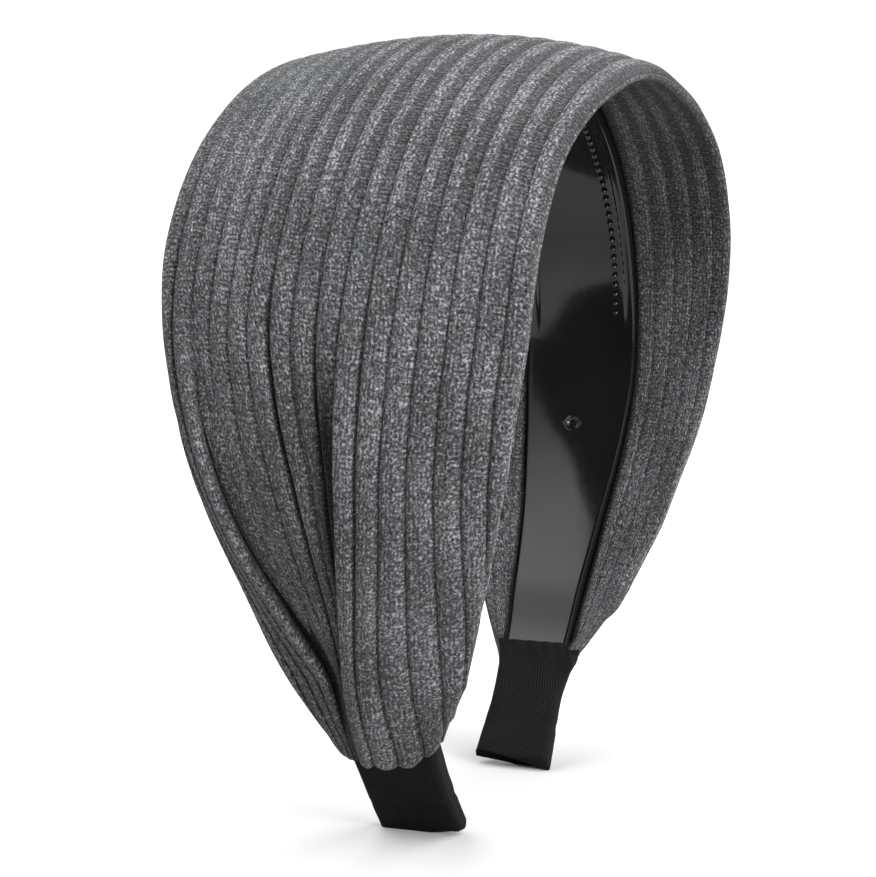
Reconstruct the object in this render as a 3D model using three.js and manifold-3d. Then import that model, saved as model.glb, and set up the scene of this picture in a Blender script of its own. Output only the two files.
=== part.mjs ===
// Wide headband standing on its two tips, in millimetres.
// +Z is up, +X runs from ear to ear, and the front edge of the band faces -Y.
// The origin is on the surface that the tips stand on, midway between them.
// A station runs along the band: 0 at the crown, 1 at the +X tip and -1 at the -X tip.
// Across is the distance from the middle line towards +Y, and height is measured
// outwards from the arch, which is the outer face of the band on its middle line.

import * as THREE from 'three';
import { mergeVertices } from 'three/addons/utils/BufferGeometryUtils.js';
import Module from 'manifold-3d';

const wasm = await Module();
wasm.setup();

// The arch
const HOOP_HEIGHT = 140;
const TIP_ANGLE = THREE.MathUtils.degToRad(38.2);
const ARCH_STEPS = 400;
const ARCH_BENDS = [
  { at: 0.0, bend: 0.85 },
  { at: 0.25, bend: 1.18 },
  { at: 0.5, bend: 1.62 },
  { at: 0.75, bend: 0.33 },
  { at: 1.0, bend: 0.02 },
];

// The knit cover: single over the hoop, double where it overhangs it
const KNIT_SINGLE = 1.4;
const KNIT_DOUBLE = 2.4;
const HEM = 1.0;
const RIB_COUNT = 15.5;
const COVER_ROWS = [
  { at: 0.0, halfWidth: 32.5, edgeDrop: 7.3, puff: 0.0 },
  { at: 0.1, halfWidth: 32.6, edgeDrop: 6.8, puff: 0.0 },
  { at: 0.2, halfWidth: 32.6, edgeDrop: 4.7, puff: 0.0 },
  { at: 0.3, halfWidth: 32.4, edgeDrop: 3.3, puff: 0.0 },
  { at: 0.5, halfWidth: 30.1, edgeDrop: 4.2, puff: 0.0 },
  { at: 0.7, halfWidth: 21.8, edgeDrop: 3.9, puff: 0.4 },
  { at: 0.86, halfWidth: 10.3, edgeDrop: 0.0, puff: 2.3 },
  { at: 0.9, halfWidth: 8.8, edgeDrop: 0.0, puff: 2.2 },
];

// Where four grooves of the knit lie, in across: the lobe's edge, two that slide under it
// and a valley
const FOLD_ROWS = [
  { at: 0.0, lobe: -2.4, firstTuck: 6.0, secondTuck: 10.1, valley: 25.0 },
  { at: 0.45, lobe: -1.6, firstTuck: 7.0, secondTuck: 11.0, valley: 24.5 },
  { at: 0.52, lobe: -1.4, firstTuck: 5.9, secondTuck: 9.5, valley: 22.8 },
  { at: 0.6, lobe: -0.8, firstTuck: 4.2, secondTuck: 7.4, valley: 20.4 },
  { at: 0.67, lobe: 0.7, firstTuck: 4.1, secondTuck: 6.4, valley: 16.7 },
  { at: 0.735, lobe: 2.7, firstTuck: 3.4, secondTuck: 5.7, valley: 11.6 },
  { at: 0.8, lobe: 4.7, firstTuck: 4.9, secondTuck: 5.1, valley: 6.4 },
  { at: 0.9, lobe: 6.9, firstTuck: 7.0, secondTuck: 7.1, valley: 7.3 },
];
const FOLD_RIBS = { lobe: 7, firstTuck: 9, secondTuck: 10, valley: 14 };
const FOLD_DEPTHS = [
  { at: 0.44, step: 0.0, valley: 0.0 },
  { at: 0.55, step: 1.0, valley: 1.1 },
  { at: 0.7, step: 2.0, valley: 1.2 },
  { at: 0.8, step: 2.6, valley: 0.7 },
  { at: 0.86, step: 2.2, valley: 0.0 },
];
const LOBE_RISE = 0.6;
const LOBE_RISE_START = 3.5;
const LOBE_RISE_END = 6.7;
const STEP_END = 7.15;
const SINK_END = 12.5;
const VALLEY_SPREAD = 0.5;

// The rounded lower end of the cover, over the ribbon
const COVER_END = 0.897;
const COVER_LEG_STEPS = 22;
const COVER_CROWN_STEPS = 14;
const COVER_LEG_START = 0.45;
const POCKET_RISES = { from: 0.8, to: 0.866 };
const OVERHANG_RISES = { from: 0.85, to: 0.868 };
const END_SHAPING_START = 0.84;
const END_MIDDLE = -1.0;
const END_HALF_WIDTH = 8.5;
const END_ROUND = 0.031;
const END_LIMIT = 1.15;

// The moulded plastic hoop
const CORE_THICKNESS = 2.2;
const CORE_TIP_THICKNESS = 1.7;
const GAP = 0.3;
const CORE_ROWS = [
  { at: 0.0, halfWidth: 11.5 },
  { at: 0.55, halfWidth: 11.3 },
  { at: 0.64, halfWidth: 10.2 },
  { at: 0.73, halfWidth: 8.4 },
  { at: 0.82, halfWidth: 7.0 },
  { at: 0.88, halfWidth: 6.4 },
  { at: 1.0, halfWidth: 6.4 },
];
const RIM_HEIGHT = 0.5;
const RIM_WIDTH = 1.2;
const RIM_SLOPE = 0.5;
const CORE_BEVEL = 1.0;
const CORE_ROUND = 0.35;
const CORE_NARROWS = { from: 0.8, to: 0.865 };
const CORE_STEPS = 28;

// The two rows of small teeth and the round moulding marks
const TOOTH_PITCH = 2.1;
const TOOTH_INSET = 4.1;
const TOOTH_RADIUS = 0.75;
const TOOTH_HEIGHT = 0.8;
const TOOTH_ROOT = 0.5;
const TEETH_END = 0.503;
const MARK_STATION = 0.621;
const MARK_RADIUS = 1.45;
const MARK_DEPTH = 0.4;
const TOOTH_SIDES = 4;
const MARK_SIDES = 20;

// The ribbon wound round each tip
const RIBBON = 0.8;
const WRAP_START = 0.872;
const WRAP_ROWS = [
  { at: 0.872, halfWidth: 8.9 },
  { at: 0.884, halfWidth: 9.0 },
  { at: 0.9, halfWidth: 8.2 },
  { at: 0.93, halfWidth: 7.6 },
  { at: 1.0, halfWidth: 7.5 },
];
const WRAP_CORNER = 0.8;
const WRAP_CORNER_STEPS = 2;
const WRAP_STEPS = 8;
const WRAP_SINK = 0.1;
const LAST_STATION = 0.985;
const CAVITY_FLOOR = 1.0;
const CORE_FLOOR = 1.4;

const KNIT_LOOK = { color: '#636466', roughness: 0.95, metalness: 0 };
const PLASTIC_LOOK = { color: '#0d0d0e', roughness: 0.18, metalness: 0 };
const RIBBON_LOOK = { color: '#1a1a1b', roughness: 0.8, metalness: 0 };

// A smooth curve through rows of a table that never overshoots them
function smooth(rows, column, at) {
  const last = rows.length - 1;
  const secant = (i) => (rows[i + 1][column] - rows[i][column]) / (rows[i + 1].at - rows[i].at);
  const slope = (i) => {
    if (i === 0) return secant(0);
    if (i === last) return secant(last - 1);
    const before = secant(i - 1);
    const after = secant(i);
    return before * after > 0 ? (2 * before * after) / (before + after) : 0;
  };
  const x = THREE.MathUtils.clamp(at, rows[0].at, rows[last].at);
  let i = 0;
  while (i < last - 1 && x >= rows[i + 1].at) i += 1;
  const span = rows[i + 1].at - rows[i].at;
  const t = (x - rows[i].at) / span;
  const t2 = t * t;
  const t3 = t2 * t;
  return (2 * t3 - 3 * t2 + 1) * rows[i][column] + (t3 - 2 * t2 + t) * span * slope(i)
    + (3 * t2 - 2 * t3) * rows[i + 1][column] + (t3 - t2) * span * slope(i + 1);
}

// The arch is walked from the crown by its bend, then scaled to the hoop's height
function walkArch() {
  const turned = [0];
  for (let i = 1; i <= ARCH_STEPS; i += 1) {
    const before = smooth(ARCH_BENDS, 'bend', (i - 1) / ARCH_STEPS);
    const after = smooth(ARCH_BENDS, 'bend', i / ARCH_STEPS);
    turned.push(turned[i - 1] + (before + after) / 2);
  }
  const scale = (Math.PI / 2 + TIP_ANGLE) / turned[ARCH_STEPS];
  const angles = turned.map((t) => t * scale);
  const points = [{ x: 0, z: 0 }];
  for (let i = 1; i <= ARCH_STEPS; i += 1) {
    const middle = (angles[i - 1] + angles[i]) / 2;
    points.push({ x: points[i - 1].x + Math.cos(middle), z: points[i - 1].z - Math.sin(middle) });
  }
  const size = HOOP_HEIGHT / -points[ARCH_STEPS].z;
  const placed = points.map((p, i) => ({ x: p.x * size, z: p.z * size + HOOP_HEIGHT, angle: angles[i] }));
  return { placed, length: ARCH_STEPS * size };
}

const ARCH = walkArch();
const HALF_LENGTH = ARCH.length;

// The arch's point, outward direction and direction towards the tip at a station
function archAt(station) {
  const side = station < 0 ? -1 : 1;
  const place = Math.min(Math.abs(station), 1) * ARCH_STEPS;
  const i = Math.min(Math.floor(place), ARCH_STEPS - 1);
  const t = place - i;
  const from = ARCH.placed[i];
  const to = ARCH.placed[i + 1];
  const angle = THREE.MathUtils.lerp(from.angle, to.angle, t);
  return {
    point: new THREE.Vector3(
      side * THREE.MathUtils.lerp(from.x, to.x, t), 0, THREE.MathUtils.lerp(from.z, to.z, t)),
    outward: new THREE.Vector3(side * Math.sin(angle), 0, Math.cos(angle)),
    tipward: new THREE.Vector3(side * Math.cos(angle), 0, -Math.sin(angle)),
  };
}

function place(station, across, height) {
  const { point, outward } = archAt(station);
  return point.addScaledVector(outward, height).add(new THREE.Vector3(0, across, 0));
}

// The same section, cut off by the level plane at z beyond the last station
function placeOnLevel(side, across, height, z) {
  const { tipward } = archAt(side);
  const point = place(side, across, height);
  return point.addScaledVector(tipward, (z - point.z) / tipward.z);
}

// How far the dome of the band falls below its middle line
function drop(station, across) {
  const s = Math.abs(station);
  const ratio = across / smooth(COVER_ROWS, 'halfWidth', s);
  return smooth(COVER_ROWS, 'edgeDrop', s) * ratio * ratio;
}

const ramp = (x, from, to) => THREE.MathUtils.smoothstep(x, from, to);

// Triangles that fill a flat outline and turn the same way as it does
function fillOutline(outline) {
  const turn = Math.sign(THREE.ShapeUtils.area(outline));
  return THREE.ShapeUtils.triangulateShape(outline, []).map(([a, b, c]) => {
    const own = Math.sign(THREE.ShapeUtils.area([outline[a], outline[b], outline[c]]));
    return own === turn ? [a, b, c] : [a, c, b];
  });
}

// A closed mesh through rings of points, with a flat cap on the first and the last ring
function loft(rings, outlines) {
  const count = rings[0].length;
  const positions = rings.flat().flatMap((p) => [p.x, p.y, p.z]);
  const index = [];
  for (let i = 0; i + 1 < rings.length; i += 1) {
    for (let j = 0; j < count; j += 1) {
      const a = i * count + j;
      const b = i * count + ((j + 1) % count);
      index.push(a, a + count, b, b, a + count, b + count);
    }
  }
  const lastStart = (rings.length - 1) * count;
  fillOutline(outlines[0]).forEach(([a, b, c]) => index.push(a, b, c));
  fillOutline(outlines[1]).forEach(([a, b, c]) => index.push(lastStart + a, lastStart + c, lastStart + b));
  const geometry = new THREE.BufferGeometry();
  geometry.setAttribute('position', new THREE.Float32BufferAttribute(positions, 3));
  geometry.setIndex(index);
  return geometry;
}

const flat = (section) => section.map(([across, height]) => new THREE.Vector2(across, height));

// The knit cover
function acrossOfRib(station, rib) {
  const s = Math.abs(station);
  const half = smooth(COVER_ROWS, 'halfWidth', s);
  const rows = [{ at: 0, across: -half }];
  Object.entries(FOLD_RIBS).forEach(([name, ribAt]) => {
    rows.push({ at: ribAt, across: smooth(FOLD_ROWS, name, s) });
  });
  rows.push({ at: RIB_COUNT, across: half });
  return smooth(rows, 'across', rib);
}

function foldHeight(station, rib) {
  const s = Math.abs(station);
  const step = smooth(FOLD_DEPTHS, 'step', s);
  const valley = smooth(FOLD_DEPTHS, 'valley', s);
  const rise = LOBE_RISE * step * ramp(rib, LOBE_RISE_START, LOBE_RISE_END);
  const fall = step * ramp(rib, FOLD_RIBS.lobe, STEP_END);
  const back = (1 - LOBE_RISE) * step * ramp(rib, STEP_END, SINK_END);
  const groove = valley * Math.exp(-(((rib - FOLD_RIBS.valley) / VALLEY_SPREAD) ** 2));
  return rise - fall + back - groove;
}

// The lower end of the cover is rounded, so its last rings draw back away from its middle
function endStation(station, across) {
  const s = Math.abs(station);
  if (s < END_SHAPING_START) return station;
  const off = Math.min(Math.abs((across - END_MIDDLE) / END_HALF_WIDTH), END_LIMIT);
  const end = COVER_END - END_ROUND * off ** 3;
  const t = (s - END_SHAPING_START) / (COVER_END - END_SHAPING_START);
  return Math.sign(station) * THREE.MathUtils.lerp(END_SHAPING_START, end, t);
}

// The ribs on which the cover's outer face has its points, closer together at the lobe's
// edge and in the valley
const OUTER_RIBS = [
  0.3, 1.2, 2.2, 3.2, 4.2, 5.2, 6.1, 6.7, FOLD_RIBS.lobe, STEP_END,
  7.6, 8.5, 9.5, 10.5, 11.5, 12.6, 13.4, FOLD_RIBS.valley, 14.5, 15.2,
];

function coverSection(station) {
  const s = Math.abs(station);
  const half = smooth(COVER_ROWS, 'halfWidth', s);
  const puff = smooth(COVER_ROWS, 'puff', s);
  const overWrap = GAP - WRAP_SINK;
  const pocketRise = ramp(s, POCKET_RISES.from, POCKET_RISES.to);
  const overhangRise = ramp(s, OVERHANG_RISES.from, OVERHANG_RISES.to);
  const pocketHeight = THREE.MathUtils.lerp(-KNIT_SINGLE, overWrap, pocketRise);
  const insideHeight = THREE.MathUtils.lerp(-KNIT_DOUBLE, overWrap, overhangRise);
  const pocket = Math.min(smooth(CORE_ROWS, 'halfWidth', s) + 2 * GAP, half - 2 * HEM);
  const inside = half - HEM;
  const section = OUTER_RIBS.map((rib) => {
    const across = (acrossOfRib(station, rib) * inside) / half;
    return [across, puff - drop(station, across) + foldHeight(station, rib)];
  });
  const hemHeight = (puff + insideHeight) / 2 - drop(station, half);
  const innerSide = [inside, (inside + pocket) / 2, pocket].map((across) => [across, insideHeight]);
  const pocketSide = [pocket - GAP / 3, pocket / 2].map((across) => [across, pocketHeight]);
  const innerHalf = [...innerSide, ...pocketSide];
  const mirrored = innerHalf.map(([across, height]) => [-across, height]).reverse();
  const inner = [...innerHalf, [0, pocketHeight], ...mirrored];
  section.push([half, hemHeight]);
  inner.forEach(([across, height]) => section.push([across, height - drop(station, across)]));
  section.push([-half, hemHeight]);
  return section;
}

function knitCover() {
  const stations = [];
  for (let i = 1; i <= COVER_CROWN_STEPS; i += 1) {
    stations.push((COVER_LEG_START * i) / COVER_CROWN_STEPS);
  }
  for (let i = 1; i <= COVER_LEG_STEPS; i += 1) {
    stations.push(THREE.MathUtils.lerp(COVER_LEG_START, COVER_END, i / COVER_LEG_STEPS));
  }
  const all = [...stations.map((s) => -s).reverse(), 0, ...stations];
  const sections = all.map(coverSection);
  const rings = all.map((station, i) => sections[i].map(([across, height]) => (
    place(endStation(station, across), across, height))));
  return loft(rings, [flat(sections[0]), flat(sections[sections.length - 1])]);
}

// The plastic hoop
function coreHeights(station) {
  const narrow = ramp(Math.abs(station), CORE_NARROWS.from, CORE_NARROWS.to);
  const outer = THREE.MathUtils.lerp(-KNIT_SINGLE - GAP, -RIBBON - GAP - WRAP_SINK, narrow);
  const thickness = THREE.MathUtils.lerp(CORE_THICKNESS, CORE_TIP_THICKNESS, narrow);
  return { outer, inner: outer - thickness, rim: RIM_HEIGHT * (1 - narrow) };
}

function coreSection(station) {
  const half = smooth(CORE_ROWS, 'halfWidth', Math.abs(station));
  const { outer, inner, rim } = coreHeights(station);
  const side = [
    [half / 2, outer],
    [half - CORE_ROUND, outer],
    [half, outer - CORE_ROUND],
    [half, inner + CORE_ROUND],
    [half - CORE_BEVEL, inner - rim],
    [half - CORE_BEVEL - RIM_WIDTH, inner - rim],
    [half - CORE_BEVEL - RIM_WIDTH - RIM_SLOPE, inner],
  ];
  const mirrored = side.map(([across, height]) => [-across, height]).reverse();
  const section = [[0, outer], ...side, [0, inner], ...mirrored];
  return section.map(([across, height]) => [across, height - drop(station, across)]);
}

// Turns a closed geometry into a solid that can be joined and cut, and back
function toSolid(geometry) {
  const bare = new THREE.BufferGeometry();
  bare.setAttribute('position', geometry.getAttribute('position'));
  bare.setIndex(geometry.getIndex());
  const merged = mergeVertices(bare);
  return new wasm.Manifold(new wasm.Mesh({
    numProp: 3,
    vertProperties: new Float32Array(merged.getAttribute('position').array),
    triVerts: new Uint32Array(merged.getIndex().array),
  }));
}

function toGeometry(solid) {
  const mesh = solid.getMesh();
  const geometry = new THREE.BufferGeometry();
  geometry.setAttribute('position', new THREE.BufferAttribute(new Float32Array(mesh.vertProperties), 3));
  geometry.setIndex(new THREE.BufferAttribute(new Uint32Array(mesh.triVerts), 1));
  return geometry;
}

// Stands a geometry, made along +Y, on the hoop's inner face so that +Y points into the hollow
function onInnerFace(geometry, station, across) {
  const { outward, tipward } = archAt(station);
  const { inner } = coreHeights(station);
  const seat = place(station, across, inner - drop(station, across));
  const inward = outward.clone().negate();
  const sideways = new THREE.Vector3().crossVectors(tipward, inward);
  const matrix = new THREE.Matrix4().makeBasis(tipward, inward, sideways).setPosition(seat);
  return geometry.clone().applyMatrix4(matrix);
}

function plasticHoop() {
  const stations = [];
  for (let i = -CORE_STEPS; i <= CORE_STEPS; i += 1) stations.push((LAST_STATION * i) / CORE_STEPS);
  const sections = stations.map(coreSection);
  const rings = stations.map((station, i) => (
    sections[i].map(([across, height]) => place(station, across, height))));
  const first = coreSection(-1);
  const last = coreSection(1);
  rings.unshift(first.map(([across, height]) => placeOnLevel(-1, across, height, CORE_FLOOR)));
  rings.push(last.map(([across, height]) => placeOnLevel(1, across, height, CORE_FLOOR)));
  const band = toSolid(loft(rings, [flat(first), flat(last)]));
  const tooth = new THREE.ConeGeometry(TOOTH_RADIUS, TOOTH_HEIGHT + TOOTH_ROOT, TOOTH_SIDES);
  tooth.translate(0, (TOOTH_HEIGHT - TOOTH_ROOT) / 2, 0);
  const teeth = [];
  const toothCount = Math.floor((TEETH_END * HALF_LENGTH) / TOOTH_PITCH);
  for (let i = -toothCount; i <= toothCount; i += 1) {
    const station = (i * TOOTH_PITCH) / HALF_LENGTH;
    const across = smooth(CORE_ROWS, 'halfWidth', Math.abs(station)) - TOOTH_INSET;
    teeth.push(toSolid(onInnerFace(tooth, station, across)));
    teeth.push(toSolid(onInnerFace(tooth, station, -across)));
  }
  const mark = new THREE.CylinderGeometry(MARK_RADIUS, MARK_RADIUS, 2 * MARK_DEPTH, MARK_SIDES);
  const marks = [-1, 1].map((side) => toSolid(onInnerFace(mark, side * MARK_STATION, 0)));
  return toGeometry(wasm.Manifold.union([band, ...teeth]).subtract(wasm.Manifold.union(marks)));
}

// The ribbon wrap of one tip, a closed sleeve that the hoop's end sits in
function sleeveSection(halfWidth, top, bottom, corner) {
  const section = [];
  const corners = [
    { across: halfWidth - corner, height: top - corner, turn: 90 },
    { across: halfWidth - corner, height: bottom + corner, turn: 0 },
    { across: -halfWidth + corner, height: bottom + corner, turn: -90 },
    { across: -halfWidth + corner, height: top - corner, turn: -180 },
  ];
  corners.forEach(({ across, height, turn }) => {
    for (let i = 0; i <= WRAP_CORNER_STEPS; i += 1) {
      const angle = THREE.MathUtils.degToRad(turn - (90 * i) / WRAP_CORNER_STEPS);
      section.push([across + corner * Math.cos(angle), height + corner * Math.sin(angle)]);
    }
  });
  return section;
}

function wrapSections(s) {
  const { outer, inner } = coreHeights(s);
  const coreHalf = smooth(CORE_ROWS, 'halfWidth', s);
  const halfWidth = smooth(WRAP_ROWS, 'halfWidth', s);
  return {
    outside: sleeveSection(halfWidth, outer + GAP + RIBBON, inner - GAP - RIBBON, WRAP_CORNER),
    inside: sleeveSection(coreHalf + GAP, outer + GAP, inner - GAP, GAP),
  };
}

function tipWrap(side) {
  const stations = [];
  for (let i = 0; i <= WRAP_STEPS; i += 1) {
    stations.push(THREE.MathUtils.lerp(LAST_STATION, WRAP_START, i / WRAP_STEPS));
  }
  const sections = stations.map(wrapSections);
  const last = wrapSections(1);
  const levelRing = (section, z) => (
    section.map(([across, height]) => placeOnLevel(side, across, height, z)));
  const rings = [levelRing(last.outside, 0)];
  stations.forEach((s, i) => {
    rings.push(sections[i].outside.map(([across, height]) => place(side * s, across, height)));
  });
  for (let i = WRAP_STEPS; i >= 0; i -= 1) {
    rings.push(sections[i].inside.map(([across, height]) => place(side * stations[i], across, height)));
  }
  rings.push(levelRing(last.inside, CAVITY_FLOOR));
  const geometry = loft(rings, [flat(last.outside), flat(last.inside)]);
  if (side < 0) return geometry;
  const index = geometry.getIndex();
  for (let i = 0; i < index.count; i += 3) {
    const kept = index.getX(i);
    index.setX(i, index.getX(i + 1));
    index.setX(i + 1, kept);
  }
  return geometry;
}

function namedMesh(name, geometry, look) {
  const mesh = new THREE.Mesh(geometry, new THREE.MeshStandardMaterial(look));
  mesh.name = name;
  return mesh;
}

const headband = new THREE.Group();
headband.add(namedMesh('plastic_hoop', plasticHoop(), PLASTIC_LOOK));
headband.add(namedMesh('knit_cover', knitCover(), KNIT_LOOK));
headband.add(namedMesh('tip_wrap_left', tipWrap(-1), RIBBON_LOOK));
headband.add(namedMesh('tip_wrap_right', tipWrap(1), RIBBON_LOOK));

export default headband;
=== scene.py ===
import math

import bmesh
import bpy
import numpy as np
from mathutils import Matrix, Vector


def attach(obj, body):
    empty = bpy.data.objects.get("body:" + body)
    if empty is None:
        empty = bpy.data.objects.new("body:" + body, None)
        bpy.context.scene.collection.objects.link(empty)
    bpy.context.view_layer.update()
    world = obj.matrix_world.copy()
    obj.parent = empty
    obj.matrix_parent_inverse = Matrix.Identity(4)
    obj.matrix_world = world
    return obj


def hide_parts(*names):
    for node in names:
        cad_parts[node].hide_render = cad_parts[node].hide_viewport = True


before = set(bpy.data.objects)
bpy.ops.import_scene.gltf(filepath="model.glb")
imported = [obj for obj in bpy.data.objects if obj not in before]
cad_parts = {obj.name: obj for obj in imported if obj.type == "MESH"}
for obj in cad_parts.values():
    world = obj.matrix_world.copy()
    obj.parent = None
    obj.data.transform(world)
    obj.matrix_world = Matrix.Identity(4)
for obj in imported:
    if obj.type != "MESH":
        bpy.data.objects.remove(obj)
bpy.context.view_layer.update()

# The wide headband in its finished looks. Lengths are in millimetres until mesh_object
# turns them into metres. A station runs along the band: 0 at the crown, 1 at the +X tip and
# -1 at the -X tip. Across is the distance from the middle line towards +Y, and height is
# measured outwards from the arch. A rib is a place across the knit, counted from the front
# hem, and a course is a row of stitches. In the functions s is a station's distance from the
# crown on either leg, from 0 to 1, and g is a graph of shader nodes.

MM = 0.001
WAVE_COUNT = 5
WAVE_PACES = (0.6, 1.6)


def table(names, *rows):
    """A short table with named columns, as arrays."""
    return dict(zip(names.split(), np.array(rows, float).T))


# The arch
HOOP_HEIGHT = 140.0
TIP_ANGLE = math.radians(38.2)
ARCH_STEPS = 400
ARCH_BENDS = table(
    "at bend",
    (0.0, 0.85),
    (0.25, 1.18),
    (0.5, 1.62),
    (0.75, 0.33),
    (1.0, 0.02),
)

# The knit cover
COVER_ROWS = table(
    "at half_width front_drop rear_drop puff",
    (0.0, 32.5, 5.6, 3.8, 0.0),
    (0.1, 32.6, 5.7, 4.3, 0.0),
    (0.2, 32.6, 4.2, 4.1, 0.0),
    (0.3, 32.4, 2.3, 3.7, 0.0),
    (0.5, 30.1, 4.0, 4.3, 0.0),
    (0.7, 21.8, 3.9, 3.9, 0.4),
    (0.86, 10.3, 0.0, 0.0, 2.3),
    (0.9, 8.8, 0.0, 0.0, 2.2),
)
HEM_ROWS = table(
    "at left_front left_rear right_front right_rear",
    (0.0, 32.4, 32.8, 32.4, 32.8),
    (0.1, 32.4, 32.9, 32.7, 32.9),
    (0.2, 32.1, 33.1, 32.9, 33.0),
    (0.3, 31.6, 33.2, 32.9, 33.1),
    (0.38, 31.3, 33.0, 32.6, 32.8),
    (0.46, 30.9, 31.4, 31.3, 31.4),
    (0.51, 29.8, 29.7, 29.9, 29.6),
    (0.57, 28.0, 27.9, 28.1, 27.8),
    (0.613, 25.9, 26.4, 26.7, 26.2),
    (0.68, 22.4, 23.6, 23.6, 23.2),
    (0.73, 19.4, 21.4, 21.4, 20.5),
    (0.77, 16.9, 19.2, 18.3, 17.8),
    (0.8, 15.1, 16.7, 15.8, 15.4),
    (0.84, 13.4, 13.4, 13.9, 12.6),
    (0.87, 12.3, 11.7, 11.9, 10.0),
    (0.885, 11.3, 11.2, 10.0, 8.6),
    (0.9, 9.2, 9.6, 7.8, 7.8),
)
FLANK_RIB = -5.0
REAR_RIB = 21.6
LOBE_RIB = 7.0
VALLEY_RIB = 14.0
EDGE_ROWS = table(
    "at left_front right_front rear round",
    (0.0, 0.0, 0.0, 16.1, 0.95),
    (0.5, 0.0, 0.0, 15.9, 0.95),
    (0.57, 0.1, -0.1, 16.6, 0.95),
    (0.66, 0.6, -0.4, 18.0, 1.0),
    (0.78, 1.5, -0.9, 18.4, 1.6),
    (0.9, 2.3, -1.6, 18.4, 3.0),
)
FOLD_ROWS = table(
    "at lobe first_tuck second_tuck valley",
    (0.0, -2.4, 6.0, 10.1, 25.4),
    (0.45, -1.3, 7.0, 11.2, 26.0),
    (0.52, -1.1, 5.9, 9.7, 24.8),
    (0.6, -0.4, 4.2, 7.4, 22.4),
    (0.67, 1.2, 4.2, 6.4, 18.9),
    (0.735, 3.1, 4.3, 5.9, 13.6),
    (0.8, 4.8, 5.3, 5.8, 8.2),
    (0.9, 5.9, 6.2, 6.5, 7.4),
)
TUCK_RIBS = {"lobe": LOBE_RIB, "first_tuck": 9.0, "second_tuck": 10.0, "valley": VALLEY_RIB}
FOLD_DEPTHS = table(
    "at step valley tuck",
    (0.4, 0.0, 0.0, 0.0),
    (0.46, 0.4, 0.9, 0.7),
    (0.55, 1.8, 2.1, 1.3),
    (0.7, 3.2, 2.8, 1.2),
    (0.8, 3.3, 1.8, 0.4),
    (0.87, 2.4, 0.2, 0.0),
)
# How a fold's edge rolls over: shares of the fold's depth by which its points move across
# and fall, by their distance in ribs from the edge
ROLL_ROWS = table(
    "at across fall",
    (-0.5, 0.0, 0.0),
    (-0.25, 0.05, 0.0),
    (-0.1, 0.16, 0.04),
    (0.0, 0.22, 0.28),
    (0.05, 0.08, 0.6),
    (0.1, -0.28, 0.8),
    (0.17, -0.4, 0.95),
    (0.3, -0.2, 1.0),
    (0.5, 0.0, 1.0),
)
ROLL_REACH = 0.31
LOBE_RISE = 0.5
LOBE_RISE_RIBS = (3.0, 6.6)
LOBE_SINK_RIBS = (0.4, 5.0)
VALLEY_RISE = 0.4
VALLEY_BANK_RIBS = (0.5, 3.8)
# The narrow tucks, each as its rib and its share of the tuck's depth
TUCKS = ((6.0, 0.4), (8.0, 0.45), (9.0, 1.2), (10.0, 1.1))
TUCK_WIDTH = 0.1
TUCK_SINK = 0.8
# A fold's shade: the depth at which it is full, and the distances from the fold's edge, in
# ribs, over which it sets in and fades
LOBE_SHADE = {"full_depth": 1.8, "sets_in": (-0.02, 0.06), "fades": (0.5, 1.9)}
VALLEY_SHADE = {"full_depth": 1.3, "sets_in": (-0.02, 0.08), "fades": (0.25, 1.2)}
VALLEY_SHADE_STATIONS = (0.45, 0.6)
MIDDLE_SHADE = 0.15
MIDDLE_SHADE_DEPTH = 3.0
MIDDLE_SHADE_RIBS = (0.3, 0.6)
TUCK_SHADE = 0.65
FOLD_SHADE = 0.9
DARKEST_FOLD = 0.93

# The relief of one rib, from one groove to the next: phases, and heights where the knit is
# open, at the crown, and where it is drawn together, on the legs
RIB_ROWS = table(
    "at open drawn",
    (0.0, -0.27, -0.6),
    (0.05, -0.25, -0.2),
    (0.14, -0.22, 0.1),
    (0.27, -0.2, 0.24),
    (0.4, -0.18, 0.26),
    (0.5, 0.1, 0.19),
    (0.6, 0.28, 0.25),
    (0.74, 0.34, 0.27),
    (0.86, 0.33, 0.16),
    (0.94, 0.2, -0.08),
    (1.0, -0.27, -0.6),
)
FACE_PHASES = (0.0, 0.05, 0.14, 0.27, 0.4, 0.5, 0.6, 0.74, 0.86, 0.94)
FLANK_PHASES = (0.0, 0.06, 0.27, 0.5, 0.6, 0.8, 0.94)
FACE_FROM, FACE_TO = -3, 19
DRAWN_STATIONS = (0.22, 0.5)
FULL_RELIEF_PITCH = 2.6
# Where the relief is calmer: before the valley on the legs, and at the rear of the crown
MIDDLE_STARTS, MIDDLE_ENDS = (9.8, 10.8), (13.4, 14.2)
MIDDLE_STATIONS = (0.42, 0.55)
MIDDLE_CALM = 0.25
REAR_TOP_RIBS = (8.0, 13.0)
REAR_TOP_STATIONS = (0.2, 0.4)
REAR_TOP_CALM = 0.5
# The cloth's unevenness outwards and across: its paces along and across, size and seed
UNEVEN = {"paces": (0.09, 0.5), "size": 0.22, "seed": 21}
SIDEWAYS = {"paces": (0.06, 0.22), "size": 0.35, "seed": 31}

FLANK_HEIGHT = -2.4
FLANK_BACK = 0.8
FLANK_RELIEF = 0.55
LEAST_FLANK = 0.6
CORE_CLEARANCE = 0.15
INSIDE_TURN = (-0.2, 0.6)
BACK_SHARE = 4
RING_PITCH = 1.3
FINE_RING_PITCH = 0.8
FINE_FROM = 0.78
CROWN_BLEND = 0.06

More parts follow.
